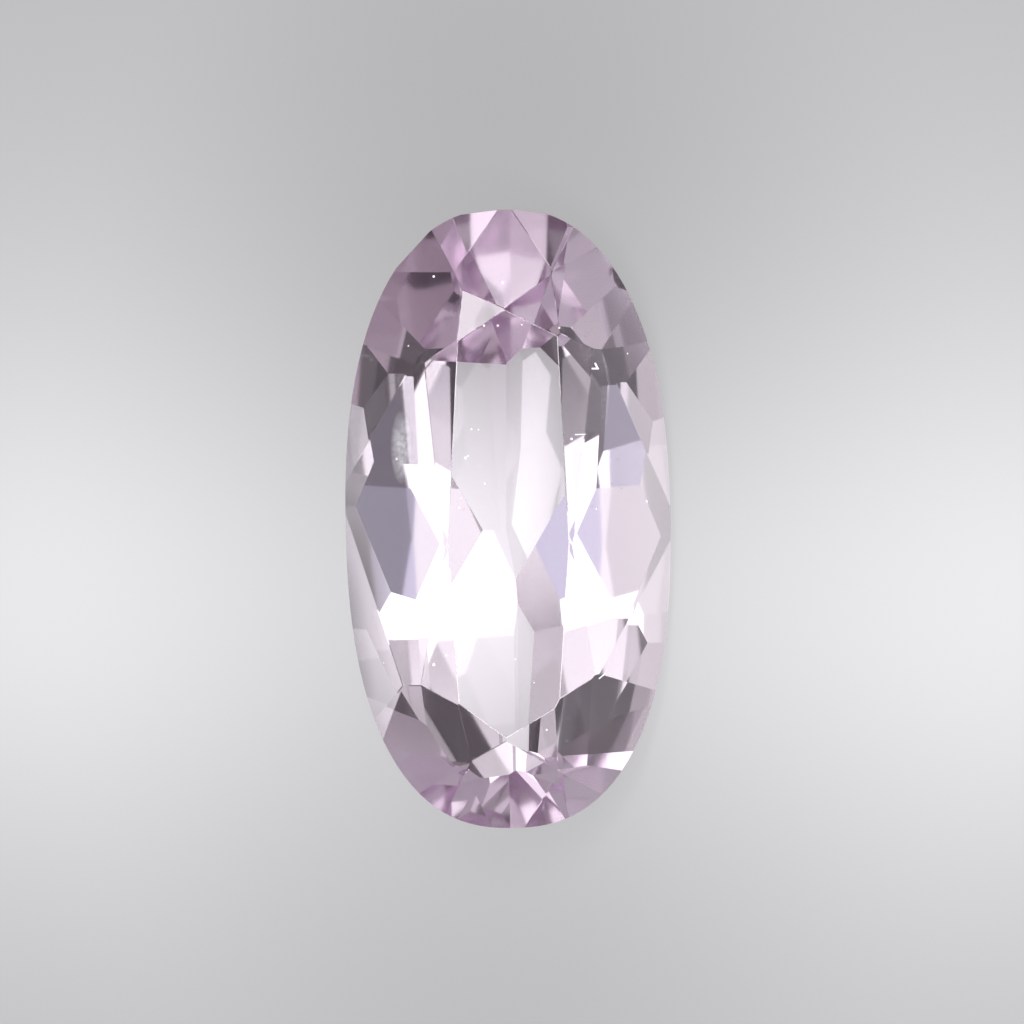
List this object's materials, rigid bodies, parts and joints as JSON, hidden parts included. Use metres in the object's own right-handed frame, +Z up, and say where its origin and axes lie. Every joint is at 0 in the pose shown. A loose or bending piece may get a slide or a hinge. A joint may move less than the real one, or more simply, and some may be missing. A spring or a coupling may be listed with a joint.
{
  "type": "oval cut kunzite gemstone",
  "caption": "Loose long oval brilliant cut from pale lilac kunzite, lying on a pavilion facet with its table tilted up.",
  "frame": {"origin": "under the middle of the stone's box, on the plane that its resting pavilion facet lies on", "axes": "+Z up, +Y along the stone's length towards its north end, and the table faces up and towards +X"},
  "size_m": [0.005, 0.0124, 0.0046],
  "materials": {
    "kunzite": "polished facets, clear pale lilac, with a finely ground girdle"
  },
  "bodies": {
    "root": {"kunzite_gem": "kunzite"}
  },
  "joints": []
}
